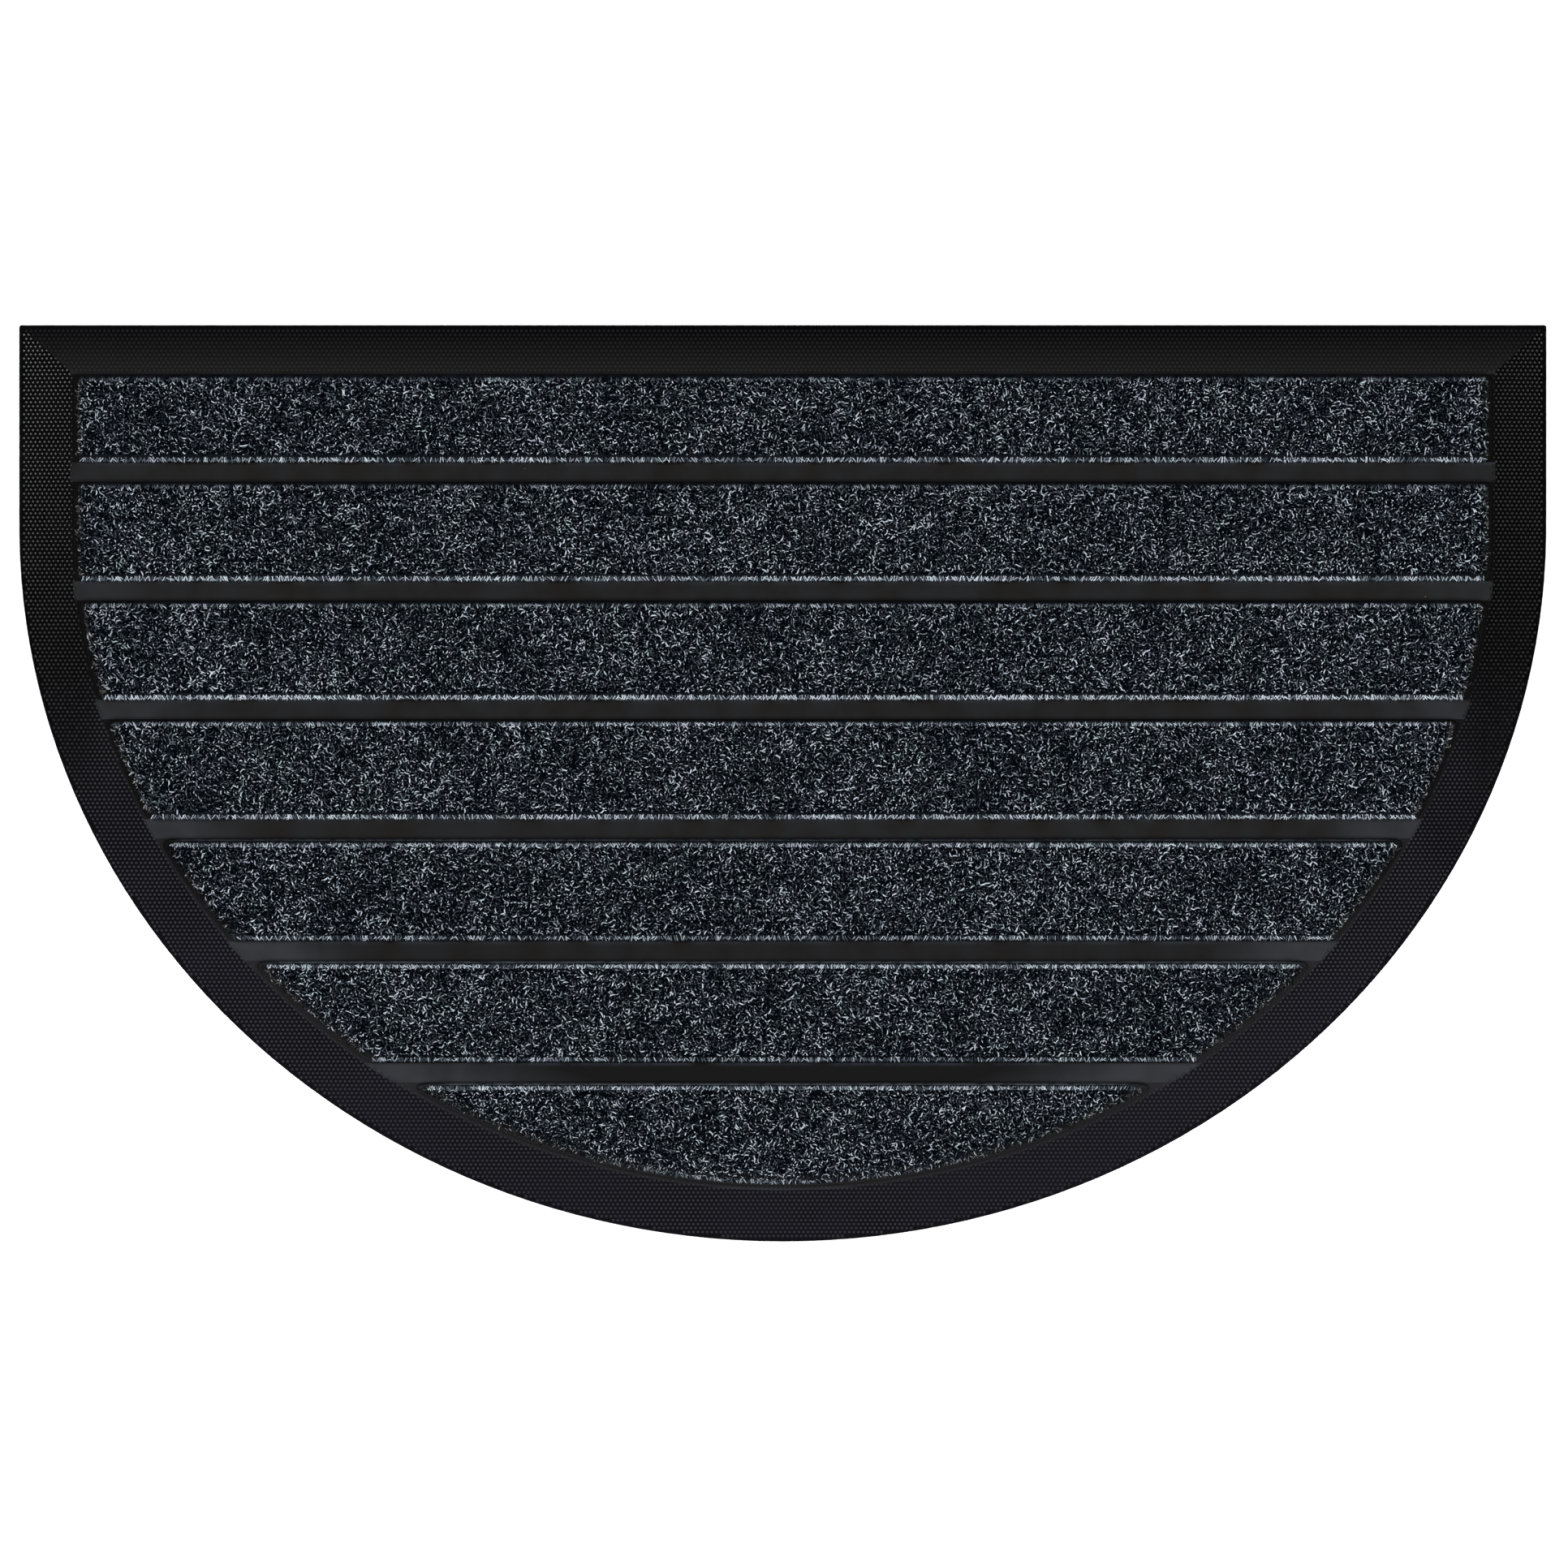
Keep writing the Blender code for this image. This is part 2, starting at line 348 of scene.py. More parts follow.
def pip_tree():
    tree, given, result = new_tree("pips on the ramp", (
        ("Base", "NodeSocketObject"),
        ("Pip", "NodeSocketObject"),
        ("Spacing", "NodeSocketFloat"),
        ("Half width", "NodeSocketFloat"),
        ("Half depth", "NodeSocketFloat"),
        ("Clear of rim", "NodeSocketFloat"),
        ("Past ramp", "NodeSocketFloat"),
        ("Material", "NodeSocketMaterial"),
    ))
    spacing = given.outputs["Spacing"]
    row_step = maths(tree, "MULTIPLY", spacing, math.sqrt(3))
    columns = maths(tree, "FLOOR", maths(tree, "DIVIDE", given.outputs["Half width"], spacing))
    rows = maths(tree, "FLOOR", maths(tree, "DIVIDE", given.outputs["Half depth"], row_step))
    lattice = add(tree, "GeometryNodeMeshGrid")
    wide = maths(tree, "MULTIPLY", columns, 2)
    deep = maths(tree, "MULTIPLY", rows, 2)
    join(tree, maths(tree, "MULTIPLY", wide, spacing), lattice.inputs["Size X"])
    join(tree, maths(tree, "MULTIPLY", deep, row_step), lattice.inputs["Size Y"])
    join(tree, maths(tree, "ADD", wide, 1), lattice.inputs["Vertices X"])
    join(tree, maths(tree, "ADD", deep, 1), lattice.inputs["Vertices Y"])
    shift = add(tree, "ShaderNodeCombineXYZ")
    join(tree, maths(tree, "MULTIPLY", spacing, 0.5), shift.inputs["X"])
    join(tree, maths(tree, "MULTIPLY", row_step, 0.5), shift.inputs["Y"])
    between = add(tree, "GeometryNodeTransform")
    both = add(tree, "GeometryNodeJoinGeometry")
    join(tree, lattice.outputs["Mesh"], between.inputs["Geometry"])
    join(tree, shift.outputs[0], between.inputs["Translation"])
    join(tree, lattice.outputs["Mesh"], both.inputs[0], between.outputs[0], both.inputs[0])

    base_info = add(tree, "GeometryNodeObjectInfo")
    whole = add(tree, "GeometryNodeMergeByDistance", distance=MERGE)
    join(tree, given.outputs["Base"], base_info.inputs["Object"])
    join(tree, base_info.outputs["Geometry"], whole.inputs[0])
    slope = add(tree, "ShaderNodeSeparateXYZ")
    join(tree, add(tree, "GeometryNodeInputNormal").outputs[0], slope.inputs[0])
    steep = maths(tree, "GREATER_THAN", slope.outputs["Z"], RAMP_NORMAL_Z[0])
    ramp_only = maths(tree, "MULTIPLY", steep, maths(tree, "LESS_THAN", slope.outputs["Z"], RAMP_NORMAL_Z[1]))
    ramp = add(tree, "GeometryNodeSeparateGeometry", domain="FACE")
    join(tree, whole.outputs[0], ramp.inputs["Geometry"], ramp_only, ramp.inputs["Selection"])
    at = add(tree, "GeometryNodeInputPosition").outputs[0]
    height = add(tree, "ShaderNodeSeparateXYZ")
    join(tree, at, height.inputs[0])
    faces_beside = add(tree, "GeometryNodeInputMeshEdgeNeighbors").outputs["Face Count"]
    open_edge = maths(tree, "LESS_THAN", faces_beside, 1.5)
    is_low = maths(tree, "LESS_THAN", height.outputs["Z"], PANEL_TOP * RIM_SIDE)
    sides = {}
    for side, chosen in (("rim", is_low), ("panel", maths(tree, "SUBTRACT", 1.0, is_low))):
        sides[side] = add(tree, "GeometryNodeSeparateGeometry", domain="EDGE")
        join(tree, ramp.outputs["Selection"], sides[side].inputs["Geometry"])
        join(tree, maths(tree, "MULTIPLY", open_edge, chosen), sides[side].inputs["Selection"])

    above = add(tree, "ShaderNodeVectorMath", operation="ADD")
    above.inputs[1].default_value = (0, 0, RAY_START)
    down = add(tree, "GeometryNodeRaycast", ray_length=RAY_LENGTH)
    join(tree, at, above.inputs[0], above.outputs[0], down.inputs["Source Position"])
    join(tree, whole.outputs[0], down.inputs["Target Geometry"])
    landed = add(tree, "GeometryNodeSetPosition")
    stood = add(tree, "GeometryNodeStoreNamedAttribute", data_type="FLOAT_VECTOR", domain="POINT")
    stood.inputs["Name"].default_value = "stands_along"
    hits = add(tree, "GeometryNodeSeparateGeometry", domain="POINT")
    points = add(tree, "GeometryNodeMeshToPoints")
    join(tree, both.outputs[0], points.inputs["Mesh"], points.outputs[0], hits.inputs["Geometry"])
    join(tree, down.outputs["Is Hit"], hits.inputs["Selection"])
    join(tree, hits.outputs["Selection"], stood.inputs["Geometry"])
    value_in = [s for s in stood.inputs if s.name == "Value" and s.enabled][0]
    join(tree, down.outputs["Hit Normal"], value_in, stood.outputs[0], landed.inputs["Geometry"])
    join(tree, down.outputs["Hit Position"], landed.inputs["Position"])

    away = {}
    for side, edges in sides.items():
        away[side] = add(tree, "GeometryNodeProximity", target_element="EDGES")
        join(tree, edges.outputs["Selection"], away[side].inputs[0])
    normal_at = add(tree, "GeometryNodeInputNamedAttribute", data_type="FLOAT_VECTOR", name="stands_along")
    tilt = add(tree, "ShaderNodeSeparateXYZ")
    join(tree, normal_at.outputs["Attribute"], tilt.inputs[0])
    sloped = maths(tree, "GREATER_THAN", tilt.outputs["Z"], RAMP_NORMAL_Z[0])
    on_ramp = maths(tree, "MULTIPLY", sloped, maths(tree, "LESS_THAN", tilt.outputs["Z"], RAMP_NORMAL_Z[1]))
    near_ramp = maths(tree, "LESS_THAN", away["panel"].outputs["Distance"], given.outputs["Past ramp"])
    level = maths(tree, "GREATER_THAN", tilt.outputs["Z"], RAMP_NORMAL_Z[1])
    on_ledge = maths(tree, "MULTIPLY", near_ramp, level)
    off_rim = maths(tree, "GREATER_THAN", away["rim"].outputs["Distance"], given.outputs["Clear of rim"])
    clear = maths(tree, "MULTIPLY", off_rim, maths(tree, "ADD", on_ramp, on_ledge))
    upright = add(tree, "FunctionNodeAlignRotationToVector", axis="Z")
    join(tree, normal_at.outputs["Attribute"], upright.inputs["Vector"])
    pip_info = add(tree, "GeometryNodeObjectInfo", as_instance=True)
    placed = add(tree, "GeometryNodeInstanceOnPoints")
    join(tree, given.outputs["Pip"], pip_info.inputs["Object"], landed.outputs[0], placed.inputs["Points"])
    join(tree, clear, placed.inputs["Selection"], pip_info.outputs["Geometry"], placed.inputs["Instance"])
    join(tree, upright.outputs[0], placed.inputs["Rotation"])
    real = add(tree, "GeometryNodeRealizeInstances")
    coated = add(tree, "GeometryNodeSetMaterial")
    join(tree, placed.outputs[0], real.inputs[0], real.outputs[0], coated.inputs["Geometry"])
    join(tree, given.outputs["Material"], coated.inputs["Material"], coated.outputs[0], result.inputs[0])
    return tree


def grown(name, tree, start_mesh, **values):
    """A plain mesh object made by a geometry tree. Its inputs are set by name, with spaces as underscores."""
    seed = bpy.data.objects.new(name + "_start", start_mesh)
    bpy.context.scene.collection.objects.link(seed)
    modifier = seed.modifiers.new("growth", "NODES")
    modifier.node_group = tree
    for item in tree.interface.items_tree:
        key = item.name.lower().replace(" ", "_")
        if item.in_out == "INPUT" and key in values:
            modifier[item.identifier] = values[key]
    seed.update_tag()
    depsgraph = bpy.context.evaluated_depsgraph_get()
    made_mesh = bpy.data.meshes.new_from_object(seed.evaluated_get(depsgraph), depsgraph=depsgraph)
    bpy.data.objects.remove(seed)
    made = bpy.data.objects.new(name, made_mesh)
    bpy.context.scene.collection.objects.link(made)
    return made


def hidden_object(name, mesh):
    """A shape for a geometry tree to repeat. It is in no collection, so it doesn't show."""
    return bpy.data.objects.new(name, mesh)


def pip_material():
    made, tree, shader = new_material("moulded rubber pips", PIPS_SPECULAR)
    place = add(tree, "ShaderNodeTexCoord").outputs["Object"]
    worn = noise_at(tree, place, SCUFFS_PER_METRE, 2.0)
    clouds = noise_at(tree, place, CLOUDS_PER_METRE, 3.0)
    split = add(tree, "ShaderNodeSeparateXYZ")
    join(tree, place, split.inputs[0])
    scuffs = maths(tree, "MULTIPLY", span(tree, worn, *SCUFFED), span(tree, clouds, *NOISE_RANGE))
    dust_and_sheen_amount = dust_and_sheen(tree, split, clouds)
    tone = blend_colour(tree, dust_and_sheen_amount, PIP_TONE, PIP_DUST_AND_SHEEN)
    scuffed = blend_colour(tree, scuffs, tone, PIP_SCUFF)
    at_back = on_back_ramp(tree, split)
    back_tone = back_tones(tree, split, PIP_BACK, PIP_BACK_INNER, PIP_BACK_RIM)
    join(tree, blend_colour(tree, at_back, scuffed, back_tone), shader.inputs["Base Color"])
    satin = span(tree, worn, *NOISE_RANGE, *PIPS_SATIN)
    matt = span(tree, split.outputs["Y"], *PIPS_MATT_BY_DEPTH, *PIPS_MATT)
    dull = maths(tree, "MAXIMUM", at_back, maths(tree, "MULTIPLY", dust_and_sheen_amount, matt))
    join(tree, maths(tree, "MAXIMUM", satin, dull), shader.inputs["Roughness"])
    return made


pip = hidden_object("pip", pip_mesh())
pips = grown(
    "border_pips",
    pip_tree(),
    bpy.data.meshes.new("border_pips_start"),
    base=base,
    pip=pip,
    spacing=PIP_SPACING,
    half_width=HALF_WIDTH,
    half_depth=BACK_EDGE,
    clear_of_rim=PIP_CLEAR_OF_RIM,
    past_ramp=PIPS_PAST_RAMP,
    material=pip_material(),
)
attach(pips, "root")


# Pile pads
# Seven bars cut from a sheet of needled charcoal pile and bonded to the panel. Each has a sloped flank, a
# pressed rim and a slightly uneven crown. The sheet's ground is nearly black and shows between the fibres.

SLICE = 0.0038
FLAT_ANGLE = math.radians(0.4)
SAME_LEVEL = 0.0001
UNDERSIDE_NORMAL_Z = -0.99
BACK_FACING_NORMAL_Y = 0.6
CROWN_STARTS = 0.0039
LUMP_PER_METRE = 150
LUMP_HEIGHT = 0.00028
FINER_LUMPS = 2.3
FINER_SHARE = 0.5
STRAIGHT_EDGE = 0.05
RIM_STARTS = 0.0028
RIM_WIDTH = 0.0034
# The pile is crushed close to the bars' ends, and painted darker with shade further in.
CRUSHED_AND_SHADED_WIDTH = 0.0080
THINS = (0.27, 0.60)
GROUND_DARK = (0.0005, 0.0009, 0.0017, 1.0)
GROUND_STROKE = (0.018, 0.023, 0.029, 1.0)
GROUND_FLANK = (0.0050, 0.0060, 0.0075, 1.0)
GROUND_LIT_FLANK = (0.0480, 0.0560, 0.0660, 1.0)
GROUND_WORN_AND_SHADED = (0.0050, 0.0045, 0.0042, 1.0)
GROUND_FRONT_ENDS = (0.0125, 0.0118, 0.0122, 1.0)
GROUND_ROUGHNESS = 0.95
STROKES_PER_METRE = 620
STROKE_WIDTH = 0.04
STROKE_HEIGHT = 0.0002
STROKES_SEEN = (0.42, 0.60)
PATCHES_PER_METRE = 260
FUZZY_FLANK = (0.35, 0.6, 0.3, 1.0)


def ring_at(node, height):
    """The pad's outline at one of its levels, anticlockwise from the back, as a list of points."""
    low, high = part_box(node)
    middle = (low + high) / 2
    found = {}
    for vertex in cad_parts[node].data.vertices:
        if abs(vertex.co.z - low.z - height) < SAME_LEVEL:
            found[(round(vertex.co.x, 6), round(vertex.co.y, 6))] = vertex.co.copy()
    return sorted(found.values(), key=lambda p: math.atan2(p.y - middle.y, p.x - middle.x))


def end_distances(points, ring):
    """How far each point lies from the pad's curved or slanted ends, in plan."""
    nearest = np.full(len(points), np.inf)
    for a, b in zip(ring, ring[1:] + ring[:1]):
        along = np.array((b.x - a.x, b.y - a.y))
        length = np.linalg.norm(along)
        if length < STRAIGHT_EDGE:
            start = np.array((a.x, a.y))
            share = np.clip((points - start) @ along / length**2, 0, 1)
            off = points - start - share[:, None] * along
            nearest = np.minimum(nearest, np.linalg.norm(off, axis=1))
    return nearest


def pad_mesh(node, name):
    """The pad's solid, cut into small squares from above, with an uneven crown."""
    low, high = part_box(node)
    solid = bmesh.new()
    solid.from_mesh(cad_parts[node].data)
    bmesh.ops.remove_doubles(solid, verts=solid.verts, dist=MERGE)
    bmesh.ops.dissolve_limit(solid, angle_limit=FLAT_ANGLE, verts=[], edges=solid.edges)
    for axis in (0, 1):
        count = int((high[axis] - low[axis]) / SLICE)
        across = Vector((axis == 0, axis == 1, 0))
        for cut in range(1, count):
            at = low + (high - low) * cut / count
            everything = solid.verts[:] + solid.edges[:] + solid.faces[:]
            bmesh.ops.bisect_plane(solid, geom=everything, dist=MERGE, plane_co=at, plane_no=across)
    under = [f for f in solid.faces if f.normal.z < UNDERSIDE_NORMAL_Z]
    bmesh.ops.dissolve_faces(solid, faces=under)
    for vertex in solid.verts:
        if vertex.co.z - low.z > CROWN_STARTS:
            spot = vertex.co * LUMP_PER_METRE
            lumps = noise.noise(spot) + FINER_SHARE * noise.noise(spot * FINER_LUMPS)
            vertex.co.z += LUMP_HEIGHT * lumps
    made = bpy.data.meshes.new(name)
    solid.to_mesh(made)
    solid.free()
    made.shade_smooth()
    return made


def mark_pad(mesh, node):
    """Writes which faces carry pile, which face the back, and how crushed the pile is towards the pad's ends,
    with a painted shade that reaches further in. Pile covers the crown, and the rim too at the ends."""
    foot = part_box(node)[0].z
    crown = mesh.attributes.new("crown", "FLOAT", "FACE")
    heights = [min(mesh.vertices[v].co.z for v in face.vertices) - foot for face in mesh.polygons]
    centres = np.array([(face.center.x, face.center.y) for face in mesh.polygons])
    low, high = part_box(node)
    inside_long_edges = (centres[:, 1] > low.y + RIM_WIDTH) & (centres[:, 1] < high.y - RIM_WIDTH)
    on_end_rim = inside_long_edges & (end_distances(centres, ring_at(node, 0.0)) < RIM_WIDTH)
    least = np.where(on_end_rim, RIM_STARTS, CROWN_STARTS - 2 * LUMP_HEIGHT)
    crown.data.foreach_set("value", (np.array(heights) > least).astype(float))
    plan = np.array([(v.co.x, v.co.y) for v in mesh.vertices])
    distance = end_distances(plan, ring_at(node, 0.0))
    facing_back = mesh.attributes.new("facing_back", "FLOAT", "FACE")
    looks_back = [float(face.normal.y > BACK_FACING_NORMAL_Y) for face in mesh.polygons]
    facing_back.data.foreach_set("value", looks_back)
    crushed = mesh.attributes.new("crushed", "FLOAT", "POINT")
    crushed.data.foreach_set("value", np.clip(1 - distance / CRUSHED_AND_SHADED_WIDTH, 0, 1) ** 2)


def ground_material():
    """Nearly black felt with fine curly strokes: the lines where a fine noise passes its middle value."""
    made, tree, shader = new_material("pile ground", 0.0)
    shader.inputs["Roughness"].default_value = GROUND_ROUGHNESS
    place = add(tree, "ShaderNodeTexCoord").outputs["Object"]
    curls = noise_at(tree, place, STROKES_PER_METRE, 1.5)
    patches = noise_at(tree, place, PATCHES_PER_METRE, 2.0)
    crushed = add(tree, "ShaderNodeAttribute", attribute_name="crushed")
    off_middle = maths(tree, "ABSOLUTE", maths(tree, "SUBTRACT", curls, 0.5))
    stroke = span(tree, off_middle, STROKE_WIDTH, 0.0)
    seen = maths(tree, "MULTIPLY", stroke, span(tree, patches, *STROKES_SEEN))
    felt = blend_colour(tree, seen, GROUND_DARK, GROUND_STROKE)
    crown = add(tree, "ShaderNodeAttribute", attribute_name="crown")
    facing_back = add(tree, "ShaderNodeAttribute", attribute_name="facing_back")
    split = add(tree, "ShaderNodeSeparateXYZ")
    join(tree, place, split.inputs[0])
    lit = maths(tree, "MULTIPLY", facing_back.outputs["Fac"], span(tree, split.outputs["Y"], *FRONT_PADS))
    flank_tone = blend_colour(tree, lit, GROUND_FLANK, GROUND_LIT_FLANK)
    fuzzy = span(tree, patches, *FUZZY_FLANK)
    flank = maths(tree, "MULTIPLY", maths(tree, "SUBTRACT", 1.0, crown.outputs["Fac"]), fuzzy)
    sided = blend_colour(tree, flank, felt, flank_tone)
    # The ends' ground is worn pile with a painted shade, lighter towards the front.
    worn = blend_colour(tree, span(tree, split.outputs["Y"], *FRONT_RAMP), GROUND_WORN_AND_SHADED, GROUND_FRONT_ENDS)
    join(tree, blend_colour(tree, crushed.outputs["Fac"], sided, worn), shader.inputs["Base Color"])
    bump = add(tree, "ShaderNodeBump", distance=STROKE_HEIGHT)
    join(tree, seen, bump.inputs["Height"], bump.outputs["Normal"], shader.inputs["Normal"])
    return made


ground = ground_material()
pads = {}
for number, node in enumerate(PADS, 1):
    name = f"pile_bar_{number}"
    mesh = pad_mesh(node, name)
    mark_pad(mesh, node)
    mesh.materials.append(ground)
    pads[node] = bpy.data.objects.new(name, mesh)
    bpy.context.scene.collection.objects.link(pads[node])


# Pile fibres
# Short curled fibres of the pile, light blue-grey to near black, standing and lying every way on the crown of
# each bar. Towards the bars' ends they are worn, sparser and browner, and painted darker with shade.

FIBRE_SHAPES = 16
CURLS = 4
CURL_STEPS = 3
CURL_LENGTH = (0.0024, 0.0041)
CURL_BEND = (50, 190)
GRAIN_STEPS = 2
GRAIN_LENGTH = (0.0015, 0.0028)
GRAIN_BEND = (5, 70)
FIBRE_RADIUS = 0.00038
FIBRE_RISE = 0.0006
FIBRE_TWIST = 0.0004
RISE_VARIES = (0.6, 1.3)
RADIUS_VARIES = (0.75, 1.2)
FIBRE_SPACING = 0.00106
FIBRE_MOST_PER_M2 = 1600000
FIBRE_LEAN = math.radians(16)
FIBRE_SCALE = (0.75, 1.2)
FIBRE_DARK = (0.0016, 0.0024, 0.0040, 1.0)
FIBRE_MIDDLE = (0.071, 0.083, 0.099, 1.0)
FIBRE_LIGHT = (0.444, 0.477, 0.519, 1.0)
# Browner and darker at the bars' ends: worn fibre and painted shade.
FIBRE_WORN_AND_SHADED = (0.37, 0.32, 0.27, 1.0)
FIBRE_TINTS = ((0.93, 1.02, 1.00, 1.0), (1.00, 0.98, 1.04, 1.0))
PLAIN = (1.0, 1.0, 1.0, 1.0)
MIDDLE_AT = 0.55
LIGHTER_PER_METRE = 55
LIGHTER_BY = 0.12
TINTS_PER_METRE = 80
TINTED = (0.35, 0.65)
WORN_AND_SHADED_BY_TINT = (0.3, 0.55, 1.1, 1.8)
STREAKS_PER_METRE = 900
FIBRE_ROUGHNESS = (0.5, 0.75)
FIBRE_SPECULAR = 0.05
# One seed for each random choice in the geometry trees, and one for the fibres' shapes.
SEEDS = {"shape": 11, "size": 12, "tone": 13, "lean x": 14, "lean y": 15, "turn": 16}
SHAPE_SEED = 41


def fibre_mesh(name, path, radius):
    """A three-sided strand that follows a path of points and comes to a point at both ends."""
    shape = bmesh.new()
    rings = []
    for before, at, after in zip(path, path[1:], path[2:]):
        along = (after - before).normalized()
        side = along.cross(Vector((0, 0, 1))).normalized()
        over = side.cross(along)
        ring = []
        for turn in (90, 210, 330):
            angle = math.radians(turn)
            spoke = math.cos(angle) * side + math.sin(angle) * over
            ring.append(shape.verts.new(at + radius * spoke))
        rings.append(ring)
    for low, high in zip(rings, rings[1:]):
        for i in range(3):
            shape.faces.new((low[i - 1], low[i], high[i], high[i - 1]))
    for tip, ring in ((path[0], rings[0]), (path[-1], rings[-1])):
        point = shape.verts.new(tip)
        for i in range(3):
            shape.faces.new((point, ring[i], ring[i - 1]))
    bmesh.ops.recalc_face_normals(shape, faces=shape.faces)
    made = bpy.data.meshes.new(name)
    shape.to_mesh(made)
    shape.free()
    made.shade_smooth()
    return made


def curl_path(length, bend, rise, twist, steps):
    """Points of an arched strand that bends round in plan. It starts and ends a little below the surface."""
    points = []
    place = Vector((0, 0, 0))
    for step in range(steps + 1):
        share = step / steps
        height = rise * (math.sin(math.pi * share) * 1.5 - 0.35) + twist * (share - 0.5)
        points.append(Vector((place.x, place.y, height)))
        heading = bend * (share - 0.5 + 0.5 / steps)
        place += length / steps * Vector((math.cos(heading), math.sin(heading), 0))
    middle = sum(points, Vector((0, 0, 0))) / len(points)
    return [p - Vector((middle.x, middle.y, 0)) for p in points]


def fibre_collection(name, meshes):
    made = bpy.data.collections.new(name)
    for shape in meshes:
        made.objects.link(bpy.data.objects.new(shape.name, shape))
    return made


def random_value(tree, low, high, seed, kind="FLOAT"):
    made = add(tree, "FunctionNodeRandomValue", data_type=kind)
    open_inputs = [s for s in made.inputs if s.enabled]
    for label, value in (("Min", low), ("Max", high), ("Seed", seed)):
        socket = [s for s in open_inputs if s.name == label][0]
        if isinstance(value, bpy.types.NodeSocket):
            tree.links.new(value, socket)
        else:
            socket.default_value = value
    return [s for s in made.outputs if s.enabled][0]


def stored(tree, geometry, name, value):
    """Keeps a number with each point, so that the strand that grows there can show it."""
    made = add(tree, "GeometryNodeStoreNamedAttribute", data_type="FLOAT", domain="POINT", name=name)
    value_in = [s for s in made.inputs if s.name == "Value" and s.enabled][0]
    join(tree, geometry, made.inputs["Geometry"])
    if isinstance(value, bpy.types.NodeSocket):
        tree.links.new(value, value_in)
    else:
        value_in.default_value = value
    return made.outputs[0]


def strands_on(tree, given, points, rotation):
    """One strand of the collection on each point, picked at random, then made real."""
    shapes = add(tree, "GeometryNodeCollectionInfo", separate_children=True, reset_children=True)
    join(tree, given.outputs["Shapes"], shapes.inputs["Collection"])
    placed = add(tree, "GeometryNodeInstanceOnPoints", pick_instance=True)
    which = random_value(tree, 0, FIBRE_SHAPES - 1, SEEDS["shape"], "INT")
    size = random_value(tree, given.outputs["Smallest"], given.outputs["Largest"], SEEDS["size"])
    join(tree, points, placed.inputs["Points"], shapes.outputs[0], placed.inputs["Instance"])
    join(tree, which, placed.inputs["Instance Index"], rotation, placed.inputs["Rotation"])
    join(tree, size, placed.inputs["Scale"])
    real = add(tree, "GeometryNodeRealizeInstances")
    coated = add(tree, "GeometryNodeSetMaterial")
    join(tree, placed.outputs[0], real.inputs[0], real.outputs[0], coated.inputs["Geometry"])
    join(tree, given.outputs["Material"], coated.inputs["Material"])
    return coated.outputs[0]


def named_attribute(tree, name):
    found = add(tree, "GeometryNodeInputNamedAttribute", data_type="FLOAT")
    found.inputs["Name"].default_value = name
    return found.outputs["Attribute"]


def pile_tree():
    tree, given, result = new_tree("pile on the crown", (
        ("Shapes", "NodeSocketCollection"),
        ("Spacing", "NodeSocketFloat"),
        ("Most", "NodeSocketFloat"),
        ("Lean", "NodeSocketFloat"),
        ("Smallest", "NodeSocketFloat"),
        ("Largest", "NodeSocketFloat"),
        ("Seed", "NodeSocketInt"),
        ("Material", "NodeSocketMaterial"),
    ))
    crown = named_attribute(tree, "crown")
    crushed = named_attribute(tree, "crushed")
    scatter = add(tree, "GeometryNodeDistributePointsOnFaces", distribute_method="POISSON")
    join(tree, given.outputs["Geometry"], scatter.inputs["Mesh"])
    join(tree, maths(tree, "GREATER_THAN", crown, 0.5), scatter.inputs["Selection"])
    join(tree, given.outputs["Spacing"], scatter.inputs["Distance Min"])
    join(tree, given.outputs["Most"], scatter.inputs["Density Max"])
    join(tree, given.outputs["Seed"], scatter.inputs["Seed"])
    join(tree, span(tree, crushed, *THINS, 1.0, 0.0), scatter.inputs["Density Factor"])
    own_tone = random_value(tree, 0.0, 1.0, SEEDS["tone"])
    toned = stored(tree, scatter.outputs["Points"], "tone", own_tone)
    lean = given.outputs["Lean"]
    back_lean = maths(tree, "MULTIPLY", lean, -1)
    turn = add(tree, "ShaderNodeCombineXYZ")
    join(tree, random_value(tree, back_lean, lean, SEEDS["lean x"]), turn.inputs["X"])
    join(tree, random_value(tree, back_lean, lean, SEEDS["lean y"]), turn.inputs["Y"])
    join(tree, random_value(tree, 0.0, math.tau, SEEDS["turn"]), turn.inputs["Z"])
    rotation = add(tree, "FunctionNodeEulerToRotation")
    join(tree, turn.outputs[0], rotation.inputs[0])
    join(tree, strands_on(tree, given, toned, rotation.outputs[0]), result.inputs[0])
    return tree


def tinted_by(tree, colour, tint):
    """One colour multiplied by another."""
    made = add(tree, "ShaderNodeMix", data_type="RGBA", blend_type="MULTIPLY")
    made.inputs[0].default_value = 1.0
    join(tree, colour, made.inputs[6], tint, made.inputs[7])
    return made.outputs[2]


